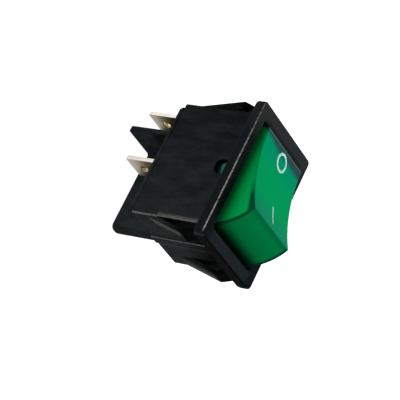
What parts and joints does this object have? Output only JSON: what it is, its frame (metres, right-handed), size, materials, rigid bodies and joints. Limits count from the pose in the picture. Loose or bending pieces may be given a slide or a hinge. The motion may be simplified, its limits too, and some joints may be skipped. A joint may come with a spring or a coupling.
{
  "type": "illuminated rocker switch",
  "caption": "Panel-mount rocker switch with a dished translucent green rocker in a black bezel, snap-in wings, barrier base and push-on tab terminals.",
  "frame": {"origin": "centre of the bezel's underside, in the plane of the panel's face", "axes": "+Z out of the panel towards the finger, +Y from the I end of the rocker to the O end, +X across"},
  "size_m": [0.0216, 0.0306, 0.036],
  "materials": {
    "black_nylon": "moulded, fine spark-eroded texture, slight sheen",
    "green_polycarbonate": "clear-tinted green, polished mould",
    "natural_nylon": "moulded, natural",
    "spring_steel": "drawn wire",
    "copper_strip": "rolled strip",
    "silver_contact": "headed rivet",
    "tinned_brass": "stamped strip, dull tin plate",
    "lamp_glass": "drawn tube, sealed tip",
    "nickel_wire": "drawn wire",
    "tinned_wire": "tinned copper",
    "resistor_coat": "dipped coat"
  },
  "bodies": {
    "body": {"housing": "black_nylon", "base": "black_nylon", "common_terminal_left": "tinned_brass", "common_terminal_right": "tinned_brass", "load_terminal_left": "tinned_brass", "load_terminal_right": "tinned_brass", "fixed_contact_left": "silver_contact", "fixed_contact_right": "silver_contact", "lamp_bulb": "lamp_glass", "lamp_electrodes": "nickel_wire", "lamp_resistor": "resistor_coat", "lamp_lead_left": "tinned_wire"},
    "rocker": {"rocker": "green_polycarbonate", "plunger_spring_left": "spring_steel", "plunger_spring_right": "spring_steel"},
    "plunger_left": {"plunger_left": "natural_nylon"},
    "blade_left": {"contact_blade_left": "copper_strip", "moving_contact_left": "silver_contact"},
    "plunger_right": {"plunger_right": "natural_nylon"},
    "blade_right": {"contact_blade_right": "copper_strip", "moving_contact_right": "silver_contact"}
  },
  "joints": [
    {"name": "rocker_pivot", "type": "hinge", "parent": "body", "child": "rocker", "pos_m": [0, 0, -0.0012], "axis": [1, 0, 0], "range_deg": [0, 33]},
    {"name": "blade_rock_left", "type": "hinge", "parent": "body", "child": "blade_left", "pos_m": [-0.0046, 0, -0.00695], "axis": [1, 0, 0], "range_deg": [-16, 0]},
    {"name": "plunger_slide_left", "type": "slide", "parent": "rocker", "child": "plunger_left", "axis": [0, 0.284, 0.9588], "range_m": [-0.0001, 0.0004], "stiffness_N_per_m": 400, "deforming": ["plunger_spring_left"]},
    {"name": "blade_rock_right", "type": "hinge", "parent": "body", "child": "blade_right", "pos_m": [0.0046, 0, -0.00695], "axis": [1, 0, 0], "range_deg": [-16, 0]},
    {"name": "plunger_slide_right", "type": "slide", "parent": "rocker", "child": "plunger_right", "axis": [0, 0.284, 0.9588], "range_m": [-0.0001, 0.0004], "stiffness_N_per_m": 400, "deforming": ["plunger_spring_right"]}
  ],
  "couplings": [
    {"joint": "blade_rock_left", "follows": "rocker_pivot", "ratio": -0.4848},
    {"joint": "blade_rock_right", "follows": "rocker_pivot", "ratio": -0.4848}
  ]
}
